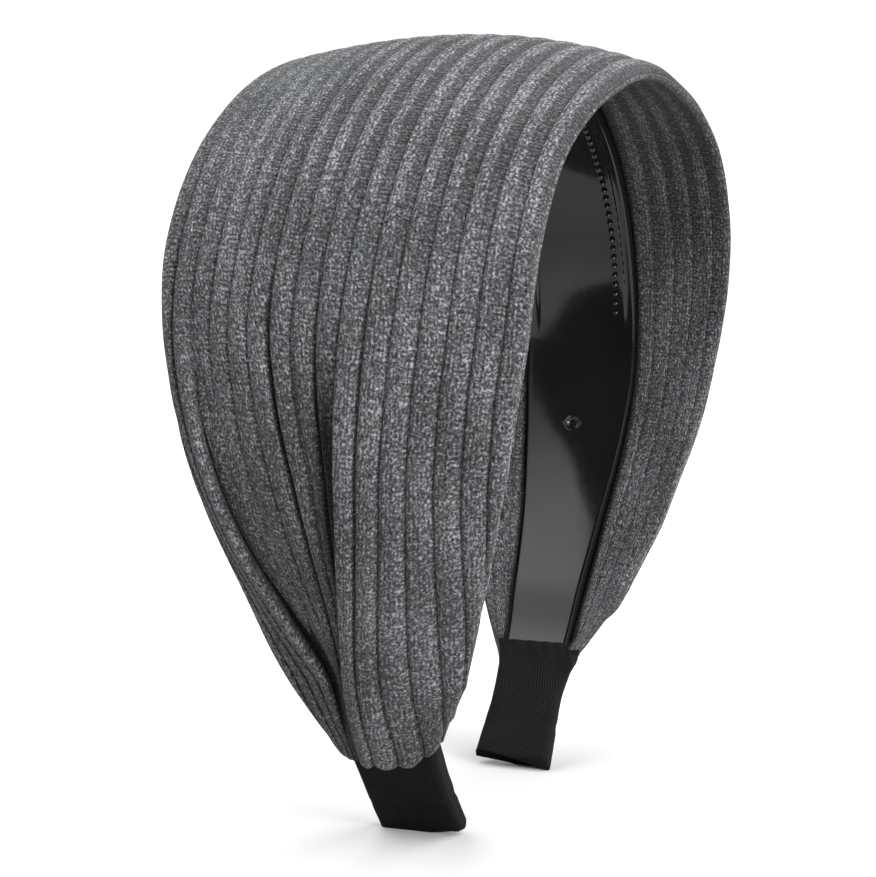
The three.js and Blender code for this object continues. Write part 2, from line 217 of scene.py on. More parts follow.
COVER_END = 0.9
END_SHAPING_START = 0.8
END_MIDDLE = 0.8
END_HALF_WIDTH = 9.3
END_ROUND = 0.034
END_REAR_ROUND = 0.006
END_LIMIT = 1.3
END_ROLL = 0.012
END_ROLL_STEPS = 9
END_ROLL_TURN = (0.0, 0.6)
SCALLOP = 0.0035
SCALLOP_ACROSS = (-9.0, -5.0)
FLANK_END = 0.884
OVER_WRAP = 0.55
# Painted shade lines in the grooves: first on the wide ribs, then on the narrow ones at the rear
NARROW_RIBS_FROM = VALLEY_RIB + 0.3
LINE_WIDTHS = (0.06, 0.13)
LINE_SHADES = (0.35, 0.75)
# Painted shadow where the knit meets the hoop's sides: full within the first distance along the
# section and gone by the second, in millimetres; then the darkest painted shade of all
SEAM_SHADOW_RUN = (0.8, 1.3)
DARKEST_PAINTED_SHADE = 0.95
INSIDE_SHADE = 0.45
INSIDE_SHADE_FADES = (0.32, 0.56)
HEM_LIGHT_WIDTH = 0.045
HEM_LIGHT_STARTS, HEM_LIGHT_ENDS = (0.25, 0.45), (0.78, 0.86)
WIDEST_RIB = 1.25

# The plastic hoop
CORE_ROWS = table(
    "at half_width",
    (0.0, 11.5),
    (0.55, 11.3),
    (0.64, 10.2),
    (0.73, 8.4),
    (0.82, 7.0),
    (0.88, 6.4),
    (1.0, 6.4),
)
CORE_OUTER, CORE_TIP_OUTER = -1.7, -1.2
CORE_THICKNESS, CORE_TIP_THICKNESS = 2.2, 1.7
CORE_NARROWS = (0.8, 0.865)
CORE_STEPS = 330
RIM_HEIGHT = 0.5
RIM_FADES = (0.42, 0.52)
HOOP_FLATTENS = (0.36, 0.5)
# The hoop's edge, by insets from it: how far it is below the outer face, and then above the
# inner face, with the share of the rim's height and how much of the lean it follows
OUTER_EDGE = table("inset below", (0.5, 0.0), (0.12, 0.12), (0.0, 0.4))
INNER_EDGE = table(
    "inset above rim lean",
    (0.0, 0.7, 0.0, 0.7),
    (0.06, 0.4, 0.0, 1.0),
    (0.2, 0.18, 0.3, 1.0),
    (0.42, 0.04, 0.7, 1.0),
    (0.75, 0.0, 0.92, 1.0),
    (1.1, 0.0, 1.0, 1.0),
    (1.65, 0.0, 1.0, 1.0),
    (1.9, 0.0, 0.93, 1.0),
    (2.15, 0.0, 0.5, 1.0),
    (2.4, 0.0, 0.07, 1.0),
    (2.65, 0.0, 0.0, 1.0),
)
# Where the dull edge material, with its painted shade, takes over, as insets from the hoop's side
DULL_FROM, DULL_TO = 0.75, 0.3
TOOTH_PITCH = 2.1
TOOTH_INSET = 4.1
TOOTH_RADIUS = 0.58
TOOTH_HEIGHT = 0.5
TOOTH_LEAN = 0.28
TOOTH_SIDES = 10
TOOTH_ROWS = table("at radius", (-0.5, 1.0), (0.0, 1.0), (0.45, 0.85), (0.8, 0.55), (0.96, 0.25))
TEETH_END = 0.503
# How far the inner face leans, as the height of its rear edge over its middle
LEAN_ROWS = table(
    "at lean",
    (0.0, 0.0),
    (0.25, -0.3),
    (0.38, -0.85),
    (0.54, -0.85),
    (0.59, -0.65),
    (0.625, -0.38),
    (0.66, -0.04),
    (0.695, 0.14),
    (0.73, 0.24),
    (0.8, 0.2),
    (0.87, 0.1),
)
FIELD_STEPS = 7
MARK_STATION = 0.621
MARK_ACROSS = 0.5
MARK_RADIUS = 1.35
MARK_DEPTH = 0.3
MARK_BANK = (0.45, 0.05)
MARK_RING = 0.12
MARK_RING_OUT = 0.08
MARK_RING_WIDTH = 0.2
MARK_ZONE = 2.4
MARK_STEPS = 33
LEG_SHIFTS = {-1: 1.3, 1: 0.3}
LEG_SHIFT_RISES = (0.72, 0.9)

# The ribbon wraps
RIBBON = 0.8
WRAP_GAP = 0.3
WRAP_ROWS = table(
    "at left_front left_rear right_front right_rear",
    (0.872, 6.9, 9.6, 8.3, 8.3),
    (0.884, 6.6, 9.6, 8.1, 7.6),
    (0.9, 6.5, 9.6, 7.2, 7.1),
    (0.93, 6.3, 9.5, 6.6, 7.0),
    (0.97, 6.5, 9.2, 6.9, 7.4),
    (1.0, 6.9, 9.0, 7.2, 7.9),
)
# How far the ribbon's cut edge runs up at one corner: its height, where it starts and ends
CUT_RISES = {-1: (1.1, -1.0, -7.0), 1: (1.3, 0.0, 8.0)}
FOOT_RISE = 2.2
FOOT_DEPTHS = (1.6, 4.2)
FRAY = 0.16
FRAY_PACE = 2.3
FRAY_SEED = 17
FRAY_STARTS, FRAY_DEEPENS = (2.5, 3.8), (2.0, 4.0)
INNER_FOOT = 3.2
LAST_STATION = 0.985
WRAP_LAST_STATION = 0.996
WRAP_COLUMNS = 280
WRAP_STATIONS = 60
WRAP_TOP = 0.872
WRAP_TOP_SLANTS = {-1: 0.004, 1: 0.011}
SLANT_ACROSS, SLANT_DEPTHS = (5.2, 8.2), (1.0, 3.0)
OUTER_CORNER, INNER_CORNER = 1.15, 0.3
RIBBON_MIDDLE, RIBBON_HALF = -2.0, 2.4
CORD_PITCH = 0.55
CORD_RELIEF = 0.05
CORD_WANDER = 2.5
CREASE_STATION = 0.962
CREASE_SLANT, CREASE_WANDER = 0.0006, 0.002
CREASE_WIDTH, CREASE_DEPTH = 0.005, 0.3
GATHER_DEPTH = 0.16
GATHER_PACE = 2.1
GATHER_FADES = (0.874, 0.9)
SLACK = 0.22
SLACK_STARTS = (0.885, 0.93)


def smooth(rows, column, at):
    """A curve through a column of a table that never overshoots its rows."""
    ats, values = rows["at"], rows[column]
    secants = np.diff(values) / np.diff(ats)
    slopes = np.concatenate([secants[:1], np.zeros(len(ats) - 2), secants[-1:]])
    for i in range(1, len(ats) - 1):
        before, after = secants[i - 1], secants[i]
        if before * after > 0:
            slopes[i] = 2 * before * after / (before + after)
    x = np.clip(np.asarray(at, float), ats[0], ats[-1])
    i = np.clip(np.searchsorted(ats, x, side="right") - 1, 0, len(ats) - 2)
    span = ats[i + 1] - ats[i]
    t = (x - ats[i]) / span
    return (
        (2 * t**3 - 3 * t**2 + 1) * values[i]
        + (t**3 - 2 * t**2 + t) * span * slopes[i]
        + (3 * t**2 - 2 * t**3) * values[i + 1]
        + (t**3 - t**2) * span * slopes[i + 1]
    )


def ramp(x, start, end):
    """A soft step, from 0 at the start to 1 at the end."""
    t = np.clip((np.asarray(x, float) - start) / (end - start), 0, 1)
    return t * t * (3 - 2 * t)


def walk_arch():
    """The arch, walked from the crown by its bend and scaled to the hoop's height."""
    at = np.linspace(0, 1, ARCH_STEPS + 1)
    bend = smooth(ARCH_BENDS, "bend", at)
    turned = np.concatenate([[0], np.cumsum((bend[1:] + bend[:-1]) / 2)])
    angle = turned * (math.pi / 2 + TIP_ANGLE) / turned[-1]
    middle = (angle[1:] + angle[:-1]) / 2
    x = np.concatenate([[0], np.cumsum(np.cos(middle))])
    z = np.concatenate([[0], -np.cumsum(np.sin(middle))])
    size = HOOP_HEIGHT / -z[-1]
    rows = {"at": at, "x": x * size, "z": z * size + HOOP_HEIGHT, "angle": angle}
    return rows, ARCH_STEPS * size


ARCH, HALF_LENGTH = walk_arch()


def arch_at(station):
    """The arch's x and z and its angle from level, at stations of either leg."""
    s = np.abs(station)
    side = np.where(np.asarray(station) < 0, -1.0, 1.0)
    x, z, angle = (np.interp(s, ARCH["at"], ARCH[name]) for name in ("x", "z", "angle"))
    return side, side * x, z, angle


def place(station, across, height):
    """Points in millimetres from the row frame's origin."""
    side, x, z, angle = arch_at(station)
    return np.stack(
        np.broadcast_arrays(
            x + side * np.sin(angle) * height, across, z + np.cos(angle) * height
        ),
        axis=-1,
    )


def place_on_level(side, across, height, level):
    """The same section, cut by the level plane beyond the last station."""
    _, _, _, angle = arch_at(side)
    tipward = np.array([side * np.cos(angle), 0, -np.sin(angle)])
    points = place(np.full(np.shape(across), float(side)), across, height)
    level = np.broadcast_to(level, points[..., 2:3].shape)
    return points + tipward * ((level - points[..., 2:3]) / tipward[2])


def drop(s, across):
    """How far the dome of the band falls below its middle line."""
    ratio = across / smooth(COVER_ROWS, "half_width", s)
    front, rear = (smooth(COVER_ROWS, name, s) for name in ("front_drop", "rear_drop"))
    return np.where(across < 0, front, rear) * ratio**2


def leg_shift(station):
    """The tips sit a little off the middle, each by its own amount."""
    return LEG_SHIFTS[-1 if station < 0 else 1] * float(ramp(abs(station), *LEG_SHIFT_RISES))


def waves(x, y, seed):
    """Gentle unevenness between -1 and 1, from a few seeded sine waves."""
    draw = np.random.default_rng(seed)
    total = np.zeros(np.broadcast(x, y).shape)
    for _ in range(WAVE_COUNT):
        turn, phase = draw.uniform(0, math.tau, 2).tolist()
        pace = draw.uniform(*WAVE_PACES)
        total = total + np.sin(pace * (x * math.cos(turn) + y * math.sin(turn)) + phase)
    return total / WAVE_COUNT


def leg_name(side):
    return "left" if side < 0 else "right"


def leg_edges(rows, side, s):
    """A table's front and rear distances for one leg."""
    return [float(smooth(rows, leg_name(side) + end, s)) for end in ("_front", "_rear")]


def mesh_object(name, points, faces, material, attributes=None):
    """A smooth-shaded mesh object from points in millimetres."""
    mesh = bpy.data.meshes.new(name)
    mesh.from_pydata((np.asarray(points) * MM).tolist(), [], faces)
    mesh.validate()
    shape = bmesh.new()
    shape.from_mesh(mesh)
    bmesh.ops.recalc_face_normals(shape, faces=shape.faces)
    shape.to_mesh(mesh)
    shape.free()
    mesh.shade_smooth()
    for key, values in (attributes or {}).items():
        values = np.asarray(values, np.float32)
        kind = "FLOAT_VECTOR" if values.ndim == 2 else "FLOAT"
        layer = mesh.attributes.new(key, kind, "POINT")
        layer.data.foreach_set("vector" if values.ndim == 2 else "value", values.ravel())
    mesh.materials.append(material)
    piece = bpy.data.objects.new(name, mesh)
    bpy.context.scene.collection.objects.link(piece)
    return piece


def tube_faces(rings, count):
    """Quads between successive closed rings of points."""
    i, j = np.meshgrid(np.arange(rings - 1), np.arange(count), indexing="ij")
    after = (j + 1) % count
    quads = np.stack(
        [i * count + j, (i + 1) * count + j, (i + 1) * count + after, i * count + after], -1
    )
    return quads.reshape(-1, 4).tolist()


def closed_tube(rings):
    """The points and faces of a tube of rings, with a face over each end."""
    count = len(rings[0])
    last = (len(rings) - 1) * count
    faces = tube_faces(len(rings), count)
    faces += [list(range(count)), [last + i for i in range(count)][::-1]]
    return np.concatenate(rings), faces


# Materials
# A mix node's sockets for colours
MIX_SHARE, MIX_FIRST, MIX_SECOND, MIX_RESULT = 0, 6, 7, 2


class Graph:
    """A short way to write the nodes of a material or the world."""

    def __init__(self, owner, shader="Principled BSDF"):
        owner.use_nodes = True
        self.owner = owner
        self.tree = owner.node_tree
        self.shader = self.tree.nodes[shader]

    def node(self, kind, inputs=None, **settings):
        made = self.tree.nodes.new(kind)
        for key, value in settings.items():
            setattr(made, key, value)
        for key, value in (inputs or {}).items():
            self.put(made.inputs[key], value)
        return made

    def put(self, socket, value):
        if isinstance(value, bpy.types.NodeSocket):
            self.tree.links.new(value, socket)
        else:
            socket.default_value = value

    def math(self, operation, *values):
        made = self.node("ShaderNodeMath", operation=operation)
        for socket, value in zip(made.inputs, values):
            self.put(socket, value)
        return made.outputs[0]

    def scale_shift(self, value, scale, shift):
        return self.math("MULTIPLY_ADD", value, scale, shift)

    def stretch(self, value, gain):
        """A noise about its middle, with more contrast: -1 to 1."""
        return self.remap(value, 0.5 - 0.5 / gain, 0.5 + 0.5 / gain, -1.0, 1.0)

    def total(self, *terms):
        """A sum of terms, each times its share."""
        value = 0.0
        for term, share in terms:
            value = self.math("MULTIPLY_ADD", term, share, value)
        return value

    def ridges(self, turns, sense):
        """A cosine of whole turns, from 0 to 1, highest at them or, with sense -1, between."""
        cosine = self.math("COSINE", self.math("MULTIPLY", turns, math.tau))
        return self.scale_shift(cosine, 0.5 * sense, 0.5)

    def remap(self, value, low, high, to_low=0.0, to_high=1.0):
        ends = {"From Min": low, "From Max": high, "To Min": to_low, "To Max": to_high}
        return self.node("ShaderNodeMapRange", {"Value": value, **ends}).outputs["Result"]

    def attribute(self, name):
        return self.node("ShaderNodeAttribute", attribute_name=name)

    def cloth(self):
        """The three numbers of the attribute cloth."""
        vector = self.attribute("cloth").outputs["Vector"]
        return self.node("ShaderNodeSeparateXYZ", {0: vector}).outputs

    def object_place(self):
        return self.node("ShaderNodeTexCoord").outputs["Object"]

    def combine(self, x, y):
        return self.node("ShaderNodeCombineXYZ", {"X": x, "Y": y}).outputs[0]

    def noise(self, vector, scale, detail=2.0, roughness=0.5):
        made = self.node(
            "ShaderNodeTexNoise",
            {"Vector": vector, "Scale": scale, "Detail": detail, "Roughness": roughness},
        )
        return made.outputs["Fac"]

    def cloth_noise(self, across, along, scales, detail=2.0, roughness=0.5):
        """A noise on the cloth, with a scale across it and one along it."""
        x = self.math("MULTIPLY", across, scales[0])
        y = self.math("MULTIPLY", along, scales[1])
        return self.noise(self.combine(x, y), 1.0, detail, roughness)

    def random(self, vector):
        return self.node("ShaderNodeTexWhiteNoise", {"Vector": vector}).outputs["Value"]

    def ramp(self, value, *stops):
        made = self.node("ShaderNodeValToRGB", {"Fac": value})
        elements = made.color_ramp.elements
        while len(elements) < len(stops):
            elements.new(0.5)
        for element, (position, color) in zip(elements, stops):
            element.position = position
            element.color = (*color, 1.0)
        return made.outputs["Color"]

    def mix(self, share, first, second):
        made = self.node("ShaderNodeMix", data_type="RGBA")
        self.put(made.inputs[MIX_SHARE], share)
        self.put(made.inputs[MIX_FIRST], first)
        self.put(made.inputs[MIX_SECOND], (*second, 1.0))
        return made.outputs[MIX_RESULT]

    def bump(self, height, distance, strength=1.0):
        inputs = {"Height": height, "Distance": distance, "Strength": strength}
        return self.node("ShaderNodeBump", inputs).outputs["Normal"]

    def finish(self, **inputs):
        for key, value in inputs.items():
            self.put(self.shader.inputs[key.replace("_", " ")], value)
        return self.owner


# The knit's looks. A noise has one scale across the cloth and one along it
STITCHES_PER_RIB = 6.0
COURSE = 0.9
RIB_MM = 4.1
RAISED_STARTS, RAISED_ENDS = (0.44, 0.52), (0.96, 1.0)
SWAY_SCALES = (0.3, 0.35)
COLUMN_SWAY, COURSE_SWAY, COURSE_SLIP = 0.9, 1.5, 0.4
RAGGED_SCALES = (1.9, 1.9)
RAGGED_RANGE = (0.35, 0.6, 0.35, 1.35)
GRAIN_SCALES, THREAD_SCALES = (2.5, 2.1), (2.6, 0.8)
SLUB_SCALES, CLOUD_SCALES = (0.8, 0.8), (0.1, 0.06)
FIBRE_ROUGHNESS = 0.7
KNIT_TONE = 0.432
KNIT_BUMP = 0.2
# How much painted shade goes into the ribs' recesses where the knit is open, how much less of it at
# the rear of the crown, and how much onto the raised ribs on the legs
RECESS_SHARE, RECESS_CALM, RIB_SHARE = 0.62, 0.5, 0.15
KNIT_DARK = (0.009, 0.0093, 0.0098)
KNIT_MIDDLE = (0.056, 0.0575, 0.0602)
KNIT_LIGHT = (0.27, 0.275, 0.287)
# The painted shade of the ribs' recesses
KNIT_RECESS_SHADE = (0.012, 0.0123, 0.013)
# The front hem's painted highlight
KNIT_HEM_HIGHLIGHT = (0.3, 0.304, 0.312)
# The colour of the painted shade in the folds, tucks and grooves, beside the hoop and on the inside
CREVICE_SHADE = (0.003, 0.003, 0.0033)
OPEN_UNTIL, DRAWN_AT = 60.0, 95.0


def knit_stitches(g, raised, wide, along):
    """Wales of stitches where the rib is raised and purls elsewhere, and pale marks on them:
    painted glints on the stitch heads, each stitch with its own random yarn tone.
    """
    sway = g.cloth_noise(wide, along, SWAY_SCALES, 0.0, FIBRE_ROUGHNESS)
    sideways = g.scale_shift(sway, COLUMN_SWAY, 0.0)
    column = g.math("MULTIPLY_ADD", wide, STITCHES_PER_RIB / RIB_MM, sideways)
    slip = g.random(g.combine(g.math("FLOOR", column), 0.5))
    slip = g.math("MULTIPLY_ADD", slip, COURSE_SLIP, g.scale_shift(sway, COURSE_SWAY, 0.0))
    course = g.math("MULTIPLY_ADD", along, 1 / COURSE, slip)
    yarn = g.random(g.combine(g.math("FLOOR", column), g.math("FLOOR", course)))
    wale, row = g.ridges(column, -1), g.ridges(course, -1)
    knit = g.math("MULTIPLY", wale, g.scale_shift(row, 0.8, 0.2))
    purl = g.math("MULTIPLY", row, g.scale_shift(wale, 0.6, 0.4))
    sunk = g.math("SUBTRACT", 1.0, raised)
    stitch = g.math("MULTIPLY_ADD", knit, raised, g.math("MULTIPLY", purl, sunk))
    ragged = g.cloth_noise(wide, along, RAGGED_SCALES, 1.0, FIBRE_ROUGHNESS)
    stitch = g.math("MULTIPLY", stitch, g.remap(ragged, *RAGGED_RANGE))
    # Painted glints on the stitch heads, brighter or darker by each stitch's random yarn tone
    return stitch, g.math("MULTIPLY", stitch, g.scale_shift(yarn, 1.5, 0.1))


def knit_recess_shade(g, raised, rib, along):
    """Painted shade in the ribs' recesses where the knit is open, and on the raised ribs on the
    legs.
    """
    sunk = g.math("SUBTRACT", 1.0, raised)
    drawn = g.remap(g.math("ABSOLUTE", along), OPEN_UNTIL, DRAWN_AT)
    calm = g.math("MULTIPLY", g.remap(rib, *REAR_TOP_RIBS), g.remap(drawn, 0.0, 0.5, 1.0, 0.0))
    recess_shade = g.math("MULTIPLY", sunk, g.scale_shift(drawn, -RECESS_SHARE, RECESS_SHARE))
    recess_shade = g.math("MULTIPLY", recess_shade, g.scale_shift(calm, -RECESS_CALM, 1.0))
    raised_rib_shade = g.math("MULTIPLY", raised, g.math("MULTIPLY", drawn, RIB_SHARE))
    return g.math("ADD", recess_shade, raised_rib_shade)


def knit_material():
    """Heathered rib knit: stitches, fibre grains, threads, slubs and slow clouds, with painted
    glints on the stitches, painted shade in the recesses, folds and crevices, and a painted
    highlight along the front hem.
    """
    g = Graph(bpy.data.materials.new("heather_rib_knit"))
    rib, along, wide = g.cloth()

    def fibres(scales, detail, gain):
        return g.stretch(g.cloth_noise(wide, along, scales, detail, FIBRE_ROUGHNESS), gain)

    phase = g.math("FRACT", rib)
    fall = g.remap(phase, *RAISED_ENDS, 1.0, 0.0)
    raised = g.math("MULTIPLY", g.remap(phase, *RAISED_STARTS), fall)
    stitch, glints_and_yarn_tone = knit_stitches(g, raised, wide, along)
    grain, threads = fibres(GRAIN_SCALES, 2.0, 3.0), fibres(THREAD_SCALES, 0.0, 2.2)
    slub, cloud = fibres(SLUB_SCALES, 1.0, 2.2), fibres(CLOUD_SCALES, 0.0, 2.0)
    tone = g.total((grain, 0.3), (threads, 0.12), (slub, 0.12), (cloud, 0.07), (glints_and_yarn_tone, 0.24))
    stops = ((0.05, KNIT_DARK), (0.5, KNIT_MIDDLE), (1.0, KNIT_LIGHT))
    color = g.ramp(g.math("ADD", tone, KNIT_TONE), *stops)
    # Painted shade in the ribs' recesses and on the raised ribs of the legs
    color = g.mix(knit_recess_shade(g, raised, rib, along), color, KNIT_RECESS_SHADE)
    # A painted highlight along the front hem, broken up by the grain
    hem = g.math("MULTIPLY", g.attribute("hem").outputs["Fac"], g.scale_shift(grain, 0.4, 0.45))
    color = g.mix(hem, color, KNIT_HEM_HIGHLIGHT)
    # Painted shade from the folds, tucks, grooves, the hoop's side and the inside
    color = g.mix(g.attribute("painted_shade").outputs["Fac"], color, CREVICE_SHADE)
    height = g.total((stitch, 1.0), (grain, 0.3), (threads, 0.15))
    return g.finish(
        Base_Color=color, Roughness=0.95, Normal=g.bump(height, KNIT_BUMP * MM),
        Specular_IOR_Level=0.07, Sheen_Weight=0.05, Sheen_Roughness=0.45)


# The other looks: colours by the noise that picks them, noise scales and bump depths
PLASTIC_TONES = ((0.3, (0.0035, 0.0035, 0.0035)), (0.7, (0.0055, 0.0058, 0.0056)))
PLASTIC_SWIRL, PLASTIC_GRAIN = 40.0, 900.0
PLASTIC_BUMP = 0.12
# The edges' colours, a little darker than the faces': painted shade
EDGE_SHADE_TONES = ((0.3, (0.0025, 0.0025, 0.0025)), (0.7, (0.0045, 0.0046, 0.0045)))
EDGE_GRAIN = 2500.0
EDGE_BUMP = 0.02
RIBBON_TONES = ((0.3, (0.0022, 0.0022, 0.0024)), (0.85, (0.012, 0.0122, 0.0126)))
CORD_SCALES, FIBRE_SCALES, WEAR_SCALES = (0.3, 0.25), (9.0, 3.0), (0.16, 0.2)
CORD_SWAY = 1.2
WEAVE_PITCH = 0.3
RIBBON_BUMP = 0.08


def plastic_material():
    """Black moulded plastic, glossy, very slightly uneven."""
    g = Graph(bpy.data.materials.new("black_moulded_plastic"))
    place_in = g.object_place()
    swirl, grain = g.noise(place_in, PLASTIC_SWIRL), g.noise(place_in, PLASTIC_GRAIN)
    color = g.ramp(swirl, *PLASTIC_TONES)
    roughness = g.remap(grain, 0.3, 0.7, 0.07, 0.11)
    normal = g.bump(g.total((swirl, 1.0), (grain, 0.004)), PLASTIC_BUMP * MM, 0.5)
    return g.finish(Base_Color=color, Roughness=roughness, Normal=normal, IOR=1.42)


def plastic_edge_material():
    """The hoop's narrow edges: black, dull and finely grained, their colour a little darker than
    the faces' as painted shade, since they sit in shadow beside the knit.
    """
    g = Graph(bpy.data.materials.new("black_dull_edge_painted_shade"))
    grain = g.noise(g.object_place(), EDGE_GRAIN)
    color = g.ramp(grain, *EDGE_SHADE_TONES)
    roughness = g.remap(grain, 0.3, 0.7, 0.6, 0.75)
    normal = g.bump(grain, EDGE_BUMP * MM)
    return g.finish(Base_Color=color, Roughness=roughness, Normal=normal, Specular_IOR_Level=0.06)


def ribbon_material():
    """Black grosgrain: fine cords along the leg with a shorter cross weave."""
    g = Graph(bpy.data.materials.new("black_grosgrain"))
    around, along, _ = g.cloth()
    wander = g.cloth_noise(around, along, CORD_SCALES)
    sway = g.math("MULTIPLY", wander, CORD_SWAY)
    ridge = g.ridges(g.math("ADD", g.math("DIVIDE", around, CORD_PITCH), sway), 1)
    weave = g.math("COSINE", g.math("MULTIPLY", along, math.tau / WEAVE_PITCH))
    fibre = g.cloth_noise(around, along, FIBRE_SCALES)
    wear = g.cloth_noise(around, along, WEAR_SCALES)
    color = g.ramp(g.total((ridge, 0.35), (fibre, 0.35), (wear, 0.3)), *RIBBON_TONES)
    height = g.total((ridge, 1.0), (weave, 0.12), (fibre, 0.35))
    normal = g.bump(height, RIBBON_BUMP * MM)
    return g.finish(Base_Color=color, Roughness=0.8, Normal=normal, Specular_IOR_Level=0.07)


# The knit cover
def rib_relief(s):
    """The ribs' profile, open at the crown and drawn together on the legs."""
    phase = np.mod(RIBS, 1.0)
    drawn = ramp(s, *DRAWN_STATIONS)
    return (1 - drawn) * smooth(RIB_ROWS, "open", phase) + drawn * smooth(RIB_ROWS, "drawn", phase)


def section_ribs():
    """The ribs at which a section of the cover has its points."""
    ribs = set()
    for whole in range(int(FLANK_RIB), int(REAR_RIB) + 1):
        phases = FACE_PHASES if FACE_FROM < whole < FACE_TO else FLANK_PHASES
        ribs |= {round(whole + phase, 3) for phase in phases}
    for edge, sense in ((LOBE_RIB, 1), (VALLEY_RIB, -1)):
        ribs = {r for r in ribs if abs(r - edge) > ROLL_REACH}
        ribs |= {round(edge + sense * at, 3) for at in ROLL_ROWS["at"] if abs(at) <= ROLL_REACH}
    return np.array(sorted(r for r in ribs if FLANK_RIB <= r <= REAR_RIB))


RIBS = section_ribs()


def tuck_depths(tuck):
    """The narrow tucks' depths at each rib, as shares."""
    deep = np.zeros(len(RIBS))
    for rib, share in TUCKS:
        deep = np.maximum(deep, share * tuck * np.exp(-(((RIBS - rib) / TUCK_WIDTH) ** 2)))
    return deep


def fold_shade(depth, beyond, looks):
    """How much painted shade a fold of some depth leaves on the ribs that its edge hangs over."""
    sets_in, fades = ramp(beyond, *looks["sets_in"]), ramp(beyond, *looks["fades"])
    return depth / looks["full_depth"] * sets_in * (1 - fades)


def fold_shift(s, rear_hem):
    """How far the folds move the outer face across and outwards, and how much painted shade they
    leave on it.
    """
    step, valley, tuck = (float(smooth(FOLD_DEPTHS, n, s)) for n in ("step", "valley", "tuck"))
    beyond, behind = RIBS - LOBE_RIB, VALLEY_RIB - RIBS
    rise = LOBE_RISE * ramp(RIBS, *LOBE_RISE_RIBS)
    recover = (1 - LOBE_RISE) * ramp(beyond, *LOBE_SINK_RIBS)
    height = step * (rise - smooth(ROLL_ROWS, "fall", beyond) + recover)
    strip = VALLEY_RISE * (1 - ramp(-behind, 0.0, rear_hem - VALLEY_RIB))
    sunk = strip - (1 + VALLEY_RISE) * smooth(ROLL_ROWS, "fall", behind)
    height = height + valley * sunk * (1 - ramp(behind, *VALLEY_BANK_RIBS))
    across = step * smooth(ROLL_ROWS, "across", beyond)
    across = across - valley * smooth(ROLL_ROWS, "across", behind)
    deep = tuck_depths(tuck)
    # Painted shade in the tucks, under the lobe's overhang, under the valley's bank and in the
    # middle between them
    hidden = fold_shade(step, beyond, LOBE_SHADE)
    under = fold_shade(valley, behind, VALLEY_SHADE) * ramp(s, *VALLEY_SHADE_STATIONS)
    dim = MIDDLE_SHADE * step / MIDDLE_SHADE_DEPTH * ramp(beyond, *MIDDLE_SHADE_RIBS)
    dim = dim * ramp(behind, *MIDDLE_SHADE_RIBS)
    shade = TUCK_SHADE * deep + FOLD_SHADE * np.clip(np.maximum(hidden, under), 0, 1) + dim
    return across, height - TUCK_SINK * deep, np.clip(shade, 0, DARKEST_FOLD)


def section_path(side, s):
    """The cover's section without its ribs: at each rib, the place across and in height, the
    outward direction, the run along the section and the turn, and then the hems' ribs."""
    front, rear = leg_edges(HEM_ROWS, side, s)
    edges = (leg_name(side) + "_front", "rear", "round")
    front_hem, rear_hem, wide = (float(smooth(EDGE_ROWS, edge, s)) for edge in edges)
    puff = float(smooth(COVER_ROWS, "puff", s))
    core = float(smooth(CORE_ROWS, "half_width", s)) + CORE_CLEARANCE
    tall = (puff - FLANK_HEIGHT) / 2
    quarter = math.pi / 2 * math.sqrt((wide**2 + tall**2) / 2)
    folds = [float(smooth(FOLD_ROWS, n, s)) + quarter + front - wide for n in TUCK_RIBS]
    rear_apex = 2 * quarter + front + rear - 2 * wide
    first = -quarter - max(front - wide - core, LEAST_FLANK)
    last = rear_apex + quarter + max(rear - wide - core, LEAST_FLANK)
    rows = {
        "at": np.array([FLANK_RIB, front_hem, *TUCK_RIBS.values(), rear_hem, REAR_RIB]),
        "run": np.array([first, 0.0, *folds, rear_apex, last]),
    }
    run = smooth(rows, "run", RIBS)
    front_turn = np.clip(run / quarter, -1, 1) * math.pi / 2
    rear_turn = np.clip((rear_apex - run) / quarter, -1, 1) * math.pi / 2
    ahead = run < (quarter + rear_apex) / 2
    turn = np.where(ahead, front_turn, rear_turn)
    sense = np.where(ahead, -1.0, 1.0)
    edge = np.where(ahead, front, rear) - wide
    beyond = np.where(ahead, np.abs(run) - quarter, np.abs(rear_apex - run) - quarter)
    across = sense * (edge + wide * np.cos(turn) - np.maximum(beyond, 0))
    height = (puff + FLANK_HEIGHT) / 2 + tall * np.sin(turn)
    out = np.stack([sense * np.cos(turn) * tall, np.sin(turn) * wide], -1)
    out /= np.linalg.norm(out, axis=1, keepdims=True)
    return across, height, out, run, turn, front_hem, rear_hem


def end_station(s, across, rib, turn):
    """The lower end is rounded and scalloped, so its points draw back from its middle."""
    if s < END_SHAPING_START:
        return np.full(np.shape(across), s)
    off = np.clip((across - END_MIDDLE) / END_HALF_WIDTH, -END_LIMIT, END_LIMIT)
    scallop = SCALLOP * (0.5 + 0.5 * np.cos(math.tau * rib)) * ramp(across, *SCALLOP_ACROSS)
    end = COVER_END - np.where(off < 0, END_ROUND, END_REAR_ROUND) * off**2 - scallop
    t = (s - END_SHAPING_START) / (COVER_END - END_SHAPING_START)
    stations = END_SHAPING_START + t * (end - END_SHAPING_START)
    inner = ramp(-np.sin(turn), 0.0, 1.0)
    return stations + inner * (np.minimum(stations, FLANK_END) - stations)


